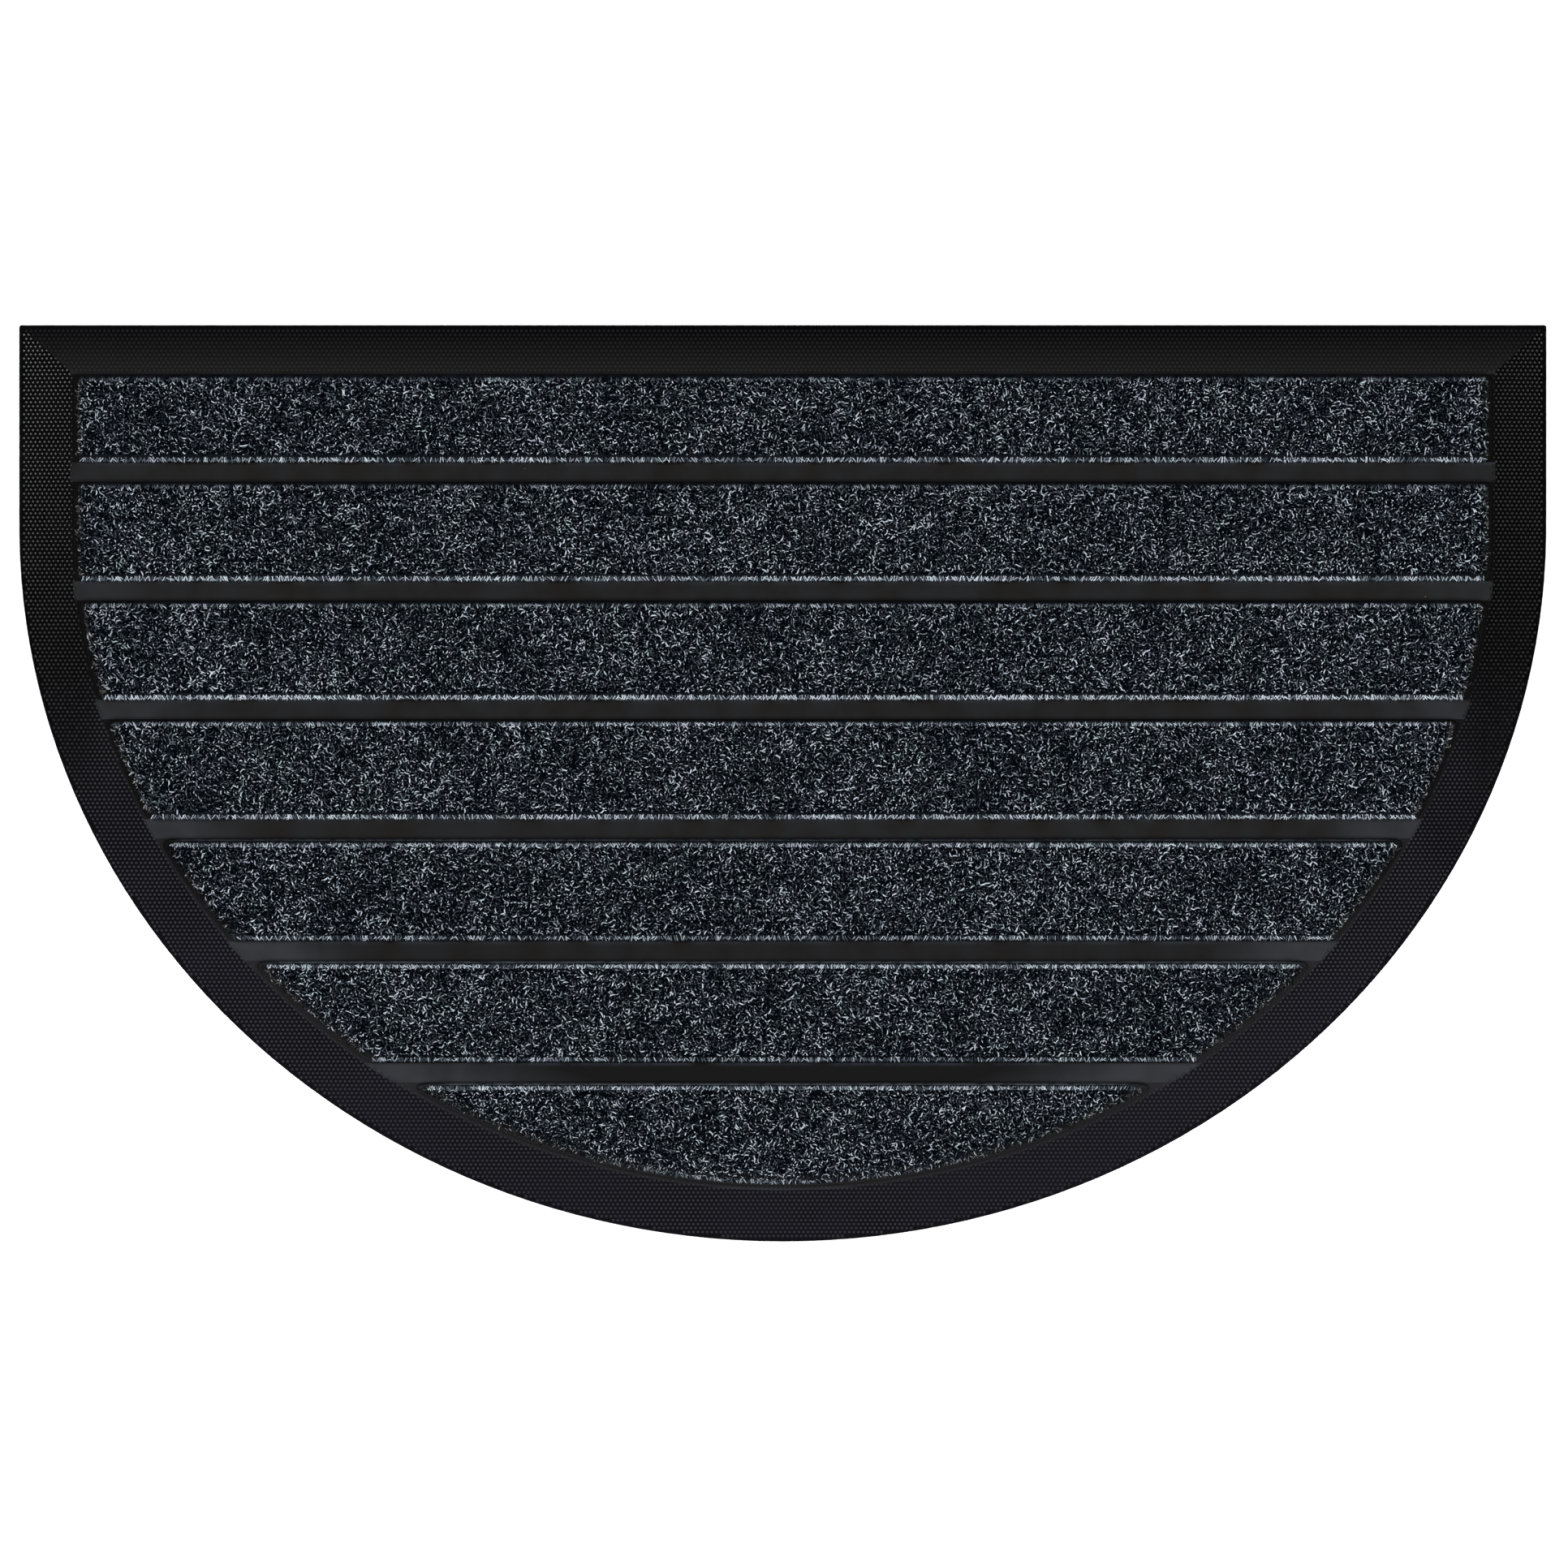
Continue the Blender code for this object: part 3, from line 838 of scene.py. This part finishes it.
def fibre_material():
    """Each strand's own tone from dark to light, tinted in soft patches, and browner and darker towards the
    bars' ends, where it is worn and a painted shade falls.
    """
    made, tree, shader = new_material("charcoal fibre", FIBRE_SPECULAR)
    place = add(tree, "ShaderNodeTexCoord").outputs["Object"]
    tone = add(tree, "ShaderNodeAttribute", attribute_name="tone").outputs["Fac"]
    crushed = add(tree, "ShaderNodeAttribute", attribute_name="crushed").outputs["Fac"]
    patches = noise_at(tree, place, LIGHTER_PER_METRE, 2.0)
    tints = noise_at(tree, place, TINTS_PER_METRE, 2.0)
    streaks = noise_at(tree, place, STREAKS_PER_METRE, 2.0)
    lifted = maths(tree, "ADD", tone, span(tree, patches, *NOISE_RANGE, -LIGHTER_BY, LIGHTER_BY))
    ramp = add(tree, "ShaderNodeValToRGB")
    stops = ramp.color_ramp.elements
    stops[0].color = FIBRE_DARK
    stops[1].color = FIBRE_LIGHT
    middle = stops.new(MIDDLE_AT)
    middle.color = FIBRE_MIDDLE
    join(tree, lifted, ramp.inputs[0])
    tint = blend_colour(tree, span(tree, tints, *TINTED), *FIBRE_TINTS)
    some = maths(tree, "MULTIPLY", crushed, span(tree, tints, *WORN_AND_SHADED_BY_TINT))
    wear_and_shade = blend_colour(tree, some, PLAIN, FIBRE_WORN_AND_SHADED)
    with_wear_and_shade = tinted_by(tree, tinted_by(tree, ramp.outputs[0], tint), wear_and_shade)
    join(tree, with_wear_and_shade, shader.inputs["Base Color"])
    join(tree, span(tree, streaks, *NOISE_RANGE, *FIBRE_ROUGHNESS), shader.inputs["Roughness"])
    return made


dice = random.Random(SHAPE_SEED)
curls = []
for n in range(FIBRE_SHAPES):
    steps, lengths, bends = GRAIN_STEPS, GRAIN_LENGTH, GRAIN_BEND
    if n < CURLS:
        steps, lengths, bends = CURL_STEPS, CURL_LENGTH, CURL_BEND
    bend = math.radians(dice.uniform(*bends)) * dice.choice((-1, 1))
    rise = FIBRE_RISE * dice.uniform(*RISE_VARIES)
    length = dice.uniform(*lengths)
    twist = dice.uniform(-FIBRE_TWIST, FIBRE_TWIST)
    path = curl_path(length, bend, rise, twist, steps)
    curls.append(fibre_mesh(f"curl_{n}", path, FIBRE_RADIUS * dice.uniform(*RADIUS_VARIES)))
curl_shapes = fibre_collection("curls", curls)
fibre = fibre_material()
crown_tree = pile_tree()
pile_fibres = {}
for number, node in enumerate(PADS, 1):
    pile_fibres[node] = grown(
        f"pile_fibres_{number}",
        crown_tree,
        pads[node].data.copy(),
        shapes=curl_shapes,
        spacing=FIBRE_SPACING,
        most=FIBRE_MOST_PER_M2,
        lean=FIBRE_LEAN,
        smallest=FIBRE_SCALE[0],
        largest=FIBRE_SCALE[1],
        seed=number,
        material=fibre,
    )
    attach(pile_fibres[node], "root")


# Pressed edges
# Along every edge of a bar the pile is pressed and shiny. Short fibres lie side by side across the rim and
# fold down over the flank. Their colour is brighter on the long edges, partly pressed fibre and partly a
# painted highlight, and browner and darker at the ends, with painted shade.

FOLD_LENGTH = 0.0032
FOLD_RADIUS = 0.00029
FOLD_SPACING = 0.00052
FOLD_TURN = math.radians(56)
FOLD_LEAN = math.radians(7)
FOLD_SCALE = (0.85, 1.15)
FLANK_TOP = 0.0029
FOLD_SLANT = 0.0005
FOLD_LIFT = (-0.0001, 0.0002)
FOLD_RADIUS_VARIES = (0.8, 1.15)
# Points of a fold, from the crown outwards: the share of the length, the share of the slant, the height, and
# the share of the lift.
FOLD_POINTS = (
    {"along": -0.62, "slant": -1.0, "height": 0.00030, "lift": 0.0},
    {"along": -0.46, "slant": -0.8, "height": 0.00048, "lift": 1.0},
    {"along": 0.17, "slant": 0.8, "height": -0.00040, "lift": 0.5},
    {"along": 0.38, "slant": 1.0, "height": -0.0023, "lift": 0.0},
)
# Fibres that start further in lie higher. Along the back edges they are also tipped up against the crown, so
# that the flank below them shows black.
RAISED_PER_STEP_IN = 0.45
BACK_TIPPED = math.radians(14)
LONG_EDGE_FACES = (0.93, 0.99)
FOLD_TONES = (-0.75, 0.34)
FOLD_SEEDS = {"tone": 21, "lean": 22, "turn": 23, "kept": 24}
END_KEPT = 0.48
END_TURN = 1.3
END_IN = 0.0020
# How bright the fibres are on each bar's front edge, back edge and ends, from 0 to 1, partly pressed fibre
# and partly a painted highlight that differs from bar to bar, and how far in from the flank they start along
# its front and back edges.
EDGES = {
    "pile_pad_1": {"front": 0.76, "back": 0.44, "end": 0.44, "front_in": -0.0003, "back_in": 0.0014},
    "pile_pad_2": {"front": 0.85, "back": 0.50, "end": 0.44, "front_in": -0.0002, "back_in": 0.0012},
    "pile_pad_3": {"front": 0.99, "back": 0.58, "end": 0.46, "front_in": -0.0002, "back_in": 0.0011},
    "pile_pad_4": {"front": 0.82, "back": 0.72, "end": 0.46, "front_in": -0.0002, "back_in": 0.0009},
    "pile_pad_5": {"front": 0.68, "back": 0.78, "end": 0.46, "front_in": 0.0004, "back_in": 0.0016},
    "pile_pad_6": {"front": 0.65, "back": 0.87, "end": 0.46, "front_in": 0.0006, "back_in": 0.0011},
    "pile_pad_7": {"front": 0.52, "back": 0.79, "end": 0.46, "front_in": 0.0014, "back_in": 0.0009},
}


def fold_path(slant, lift):
    """Points of a strand that crosses the rim, outwards along X, and folds down over the flank."""
    points = []
    for part in FOLD_POINTS:
        height = part["height"] + part["lift"] * lift
        points.append(Vector((part["along"] * FOLD_LENGTH, part["slant"] * slant, height)))
    return points


def edge_tree():
    tree, given, result = new_tree("fibres across the rim", (
        ("Shapes", "NodeSocketCollection"),
        ("Spacing", "NodeSocketFloat"),
        ("Turn", "NodeSocketFloat"),
        ("Lean", "NodeSocketFloat"),
        ("Front in", "NodeSocketFloat"),
        ("Back in", "NodeSocketFloat"),
        ("End in", "NodeSocketFloat"),
        ("Raised per step in", "NodeSocketFloat"),
        ("Back tipped", "NodeSocketFloat"),
        ("End kept", "NodeSocketFloat"),
        ("End turn", "NodeSocketFloat"),
        ("Smallest", "NodeSocketFloat"),
        ("Largest", "NodeSocketFloat"),
        ("Front shine", "NodeSocketFloat"),
        ("Back shine", "NodeSocketFloat"),
        ("End shine", "NodeSocketFloat"),
        ("Seed", "NodeSocketInt"),
        ("Material", "NodeSocketMaterial"),
    ))
    rail = add(tree, "GeometryNodeMeshToCurve")
    stops = add(tree, "GeometryNodeCurveToPoints", mode="LENGTH")
    join(tree, given.outputs["Geometry"], rail.inputs[0], rail.outputs[0], stops.inputs[0])
    join(tree, given.outputs["Spacing"], stops.inputs["Length"])
    outward = add(tree, "ShaderNodeVectorMath", operation="CROSS_PRODUCT")
    outward.inputs[1].default_value = (0, 0, 1)
    facing = add(tree, "ShaderNodeSeparateXYZ")
    join(tree, stops.outputs["Tangent"], outward.inputs[0], outward.outputs[0], facing.inputs[0])
    starts, full = LONG_EDGE_FACES
    to_front = span(tree, facing.outputs["Y"], -starts, -full)
    to_back = span(tree, facing.outputs["Y"], starts, full)
    long_edge = maths(tree, "ADD", to_front, to_back)
    at_end = maths(tree, "SUBTRACT", 1.0, long_edge)
    # The shine is partly pressed fibre and partly a painted highlight, set edge by edge.
    shine = maths(tree, "MULTIPLY", to_front, given.outputs["Front shine"])
    shine = maths(tree, "ADD", shine, maths(tree, "MULTIPLY", to_back, given.outputs["Back shine"]))
    shine = maths(tree, "ADD", shine, maths(tree, "MULTIPLY", at_end, given.outputs["End shine"]))
    tone = maths(tree, "ADD", shine, random_value(tree, *FOLD_TONES, FOLD_SEEDS["tone"]))
    front_in = maths(tree, "MULTIPLY", to_front, given.outputs["Front in"])
    back_in = maths(tree, "MULTIPLY", to_back, given.outputs["Back in"])
    end_in = maths(tree, "MULTIPLY", at_end, given.outputs["End in"])
    step_in = maths(tree, "ADD", maths(tree, "ADD", front_in, back_in), end_in)
    inwards = add(tree, "ShaderNodeVectorMath", operation="SCALE")
    join(tree, outward.outputs[0], inwards.inputs[0])
    join(tree, maths(tree, "MULTIPLY", step_in, -1), inwards.inputs["Scale"])
    upwards = add(tree, "ShaderNodeCombineXYZ")
    join(tree, maths(tree, "MULTIPLY", step_in, given.outputs["Raised per step in"]), upwards.inputs["Z"])
    shift = add(tree, "ShaderNodeVectorMath", operation="ADD")
    moved = add(tree, "GeometryNodeSetPosition")
    join(tree, inwards.outputs[0], shift.inputs[0], upwards.outputs[0], shift.inputs[1])
    join(tree, shift.outputs[0], moved.inputs["Offset"])
    toned = stored(tree, stored(tree, stops.outputs["Points"], "tone", tone), "crushed", at_end)
    kept = add(tree, "GeometryNodeSeparateGeometry", domain="POINT")
    chance = random_value(tree, 0.0, 1.0, FOLD_SEEDS["kept"])
    staying = maths(tree, "LESS_THAN", chance, maths(tree, "MAXIMUM", long_edge, given.outputs["End kept"]))
    join(tree, toned, kept.inputs["Geometry"], staying, kept.inputs["Selection"])
    join(tree, kept.outputs["Selection"], moved.inputs["Geometry"])
    aligned = add(tree, "FunctionNodeAlignRotationToVector", axis="X", pivot_axis="Z")
    join(tree, outward.outputs[0], aligned.inputs["Vector"])
    turn, lean = given.outputs["Turn"], given.outputs["Lean"]
    loose = add(tree, "ShaderNodeCombineXYZ")
    leaning = random_value(tree, maths(tree, "MULTIPLY", lean, -1), lean, FOLD_SEEDS["lean"])
    tipped = maths(tree, "MULTIPLY", to_back, given.outputs["Back tipped"])
    join(tree, maths(tree, "ADD", leaning, tipped), loose.inputs["Y"])
    at_ends = maths(tree, "MULTIPLY", at_end, given.outputs["End turn"])
    widest = maths(tree, "MAXIMUM", turn, at_ends)
    turned = random_value(tree, maths(tree, "MULTIPLY", widest, -1), widest, FOLD_SEEDS["turn"])
    join(tree, turned, loose.inputs["Z"])
    loosened = add(tree, "FunctionNodeRotateRotation", rotation_space="LOCAL")
    euler = add(tree, "FunctionNodeEulerToRotation")
    join(tree, loose.outputs[0], euler.inputs[0])
    join(tree, aligned.outputs[0], loosened.inputs[0], euler.outputs[0], loosened.inputs[1])
    join(tree, strands_on(tree, given, moved.outputs[0], loosened.outputs[0]), result.inputs[0])
    return tree


folds = []
for n in range(FIBRE_SHAPES):
    path = fold_path(dice.uniform(-FOLD_SLANT, FOLD_SLANT), dice.uniform(*FOLD_LIFT))
    folds.append(fibre_mesh(f"fold_{n}", path, FOLD_RADIUS * dice.uniform(*FOLD_RADIUS_VARIES)))
fold_shapes = fibre_collection("folds", folds)
rim_tree = edge_tree()
edge_fibres = {}
for number, node in enumerate(PADS, 1):
    ring = ring_at(node, FLANK_TOP)
    rail = bpy.data.meshes.new(f"edge_rail_{number}")
    loop = [(i, (i + 1) % len(ring)) for i in range(len(ring))]
    rail.from_pydata([tuple(p) for p in ring], loop, [])
    edges = EDGES[node]
    edge_fibres[node] = grown(
        f"edge_fibres_{number}",
        rim_tree,
        rail,
        shapes=fold_shapes,
        spacing=FOLD_SPACING,
        turn=FOLD_TURN,
        lean=FOLD_LEAN,
        front_in=edges["front_in"],
        back_in=edges["back_in"],
        end_in=END_IN,
        raised_per_step_in=RAISED_PER_STEP_IN,
        back_tipped=BACK_TIPPED,
        end_kept=END_KEPT,
        end_turn=END_TURN,
        smallest=FOLD_SCALE[0],
        largest=FOLD_SCALE[1],
        front_shine=edges["front"],
        back_shine=edges["back"],
        end_shine=edges["end"],
        seed=number,
        material=fibre,
    )
    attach(edge_fibres[node], "root")

for node, pad in pads.items():
    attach(pad, "root")
    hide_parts(node)


# Floor, light and camera
# A plain near-white floor, four softboxes round the mat, dim surroundings, and a camera straight above it.

FLOOR_SIZE = 12.0
FLOOR_WHITE = (0.92, 0.92, 0.92, 1.0)
FLOOR_ROUGHNESS = 0.9
FLOOR_SPECULAR = 0.1
BELOW_MAT = 0.0002
# Each softbox's size and place are in metres, and its power in watts.
SOFTBOXES = {
    "back_left_softbox": {"size": (0.6, 0.6), "place": (-1.08, 0.52, 1.3), "power": 25},
    "back_right_softbox": {"size": (0.6, 0.6), "place": (1.18, 0.50, 1.3), "power": 17.5},
    "front_left_softbox": {"size": (0.8, 0.4), "place": (-0.55, -0.80, 1.3), "power": 12.5},
    "front_right_softbox": {"size": (0.8, 0.4), "place": (0.55, -0.80, 1.3), "power": 23},
}
SURROUNDINGS = (0.05, 0.05, 0.05, 1.0)
CAMERA_HEIGHT = 1.8
SEEN_WIDTH = 0.7705
SENSOR = 36.0
CAMERA_OFFSET = (0.0006, -0.0003)

floor_mesh = bpy.data.meshes.new("floor")
half = FLOOR_SIZE / 2
corners = [(-half, -half, 0), (half, -half, 0), (half, half, 0), (-half, half, 0)]
floor_mesh.from_pydata(corners, [], [(0, 1, 2, 3)])
floor = bpy.data.objects.new("floor", floor_mesh)
floor.location.z = -BELOW_MAT
bpy.context.scene.collection.objects.link(floor)
floor_material, _, floor_shader = new_material("pale floor", FLOOR_SPECULAR)
floor_shader.inputs["Roughness"].default_value = FLOOR_ROUGHNESS
floor_shader.inputs["Base Color"].default_value = FLOOR_WHITE
floor_mesh.materials.append(floor_material)


def softbox(name, size, place, power):
    """A rectangular light that faces the middle of the mat."""
    light = bpy.data.lights.new(name, "AREA")
    light.shape = "RECTANGLE"
    light.size, light.size_y = size
    light.energy = power
    made = bpy.data.objects.new(name, light)
    made.location = place
    made.rotation_euler = Vector(place).to_track_quat("Z", "Y").to_euler()
    bpy.context.scene.collection.objects.link(made)


for name, values in SOFTBOXES.items():
    softbox(name, **values)

world = bpy.data.worlds.new("studio")
world.use_nodes = True
world.node_tree.nodes["Background"].inputs["Color"].default_value = SURROUNDINGS
bpy.context.scene.world = world
bpy.context.scene.view_settings.view_transform = "Standard"

camera_data = bpy.data.cameras.new("camera")
camera_data.sensor_width = SENSOR
camera_data.lens = SENSOR * CAMERA_HEIGHT / SEEN_WIDTH
camera = bpy.data.objects.new("camera", camera_data)
camera.location = (*CAMERA_OFFSET, CAMERA_HEIGHT)
bpy.context.scene.collection.objects.link(camera)
bpy.context.scene.camera = camera
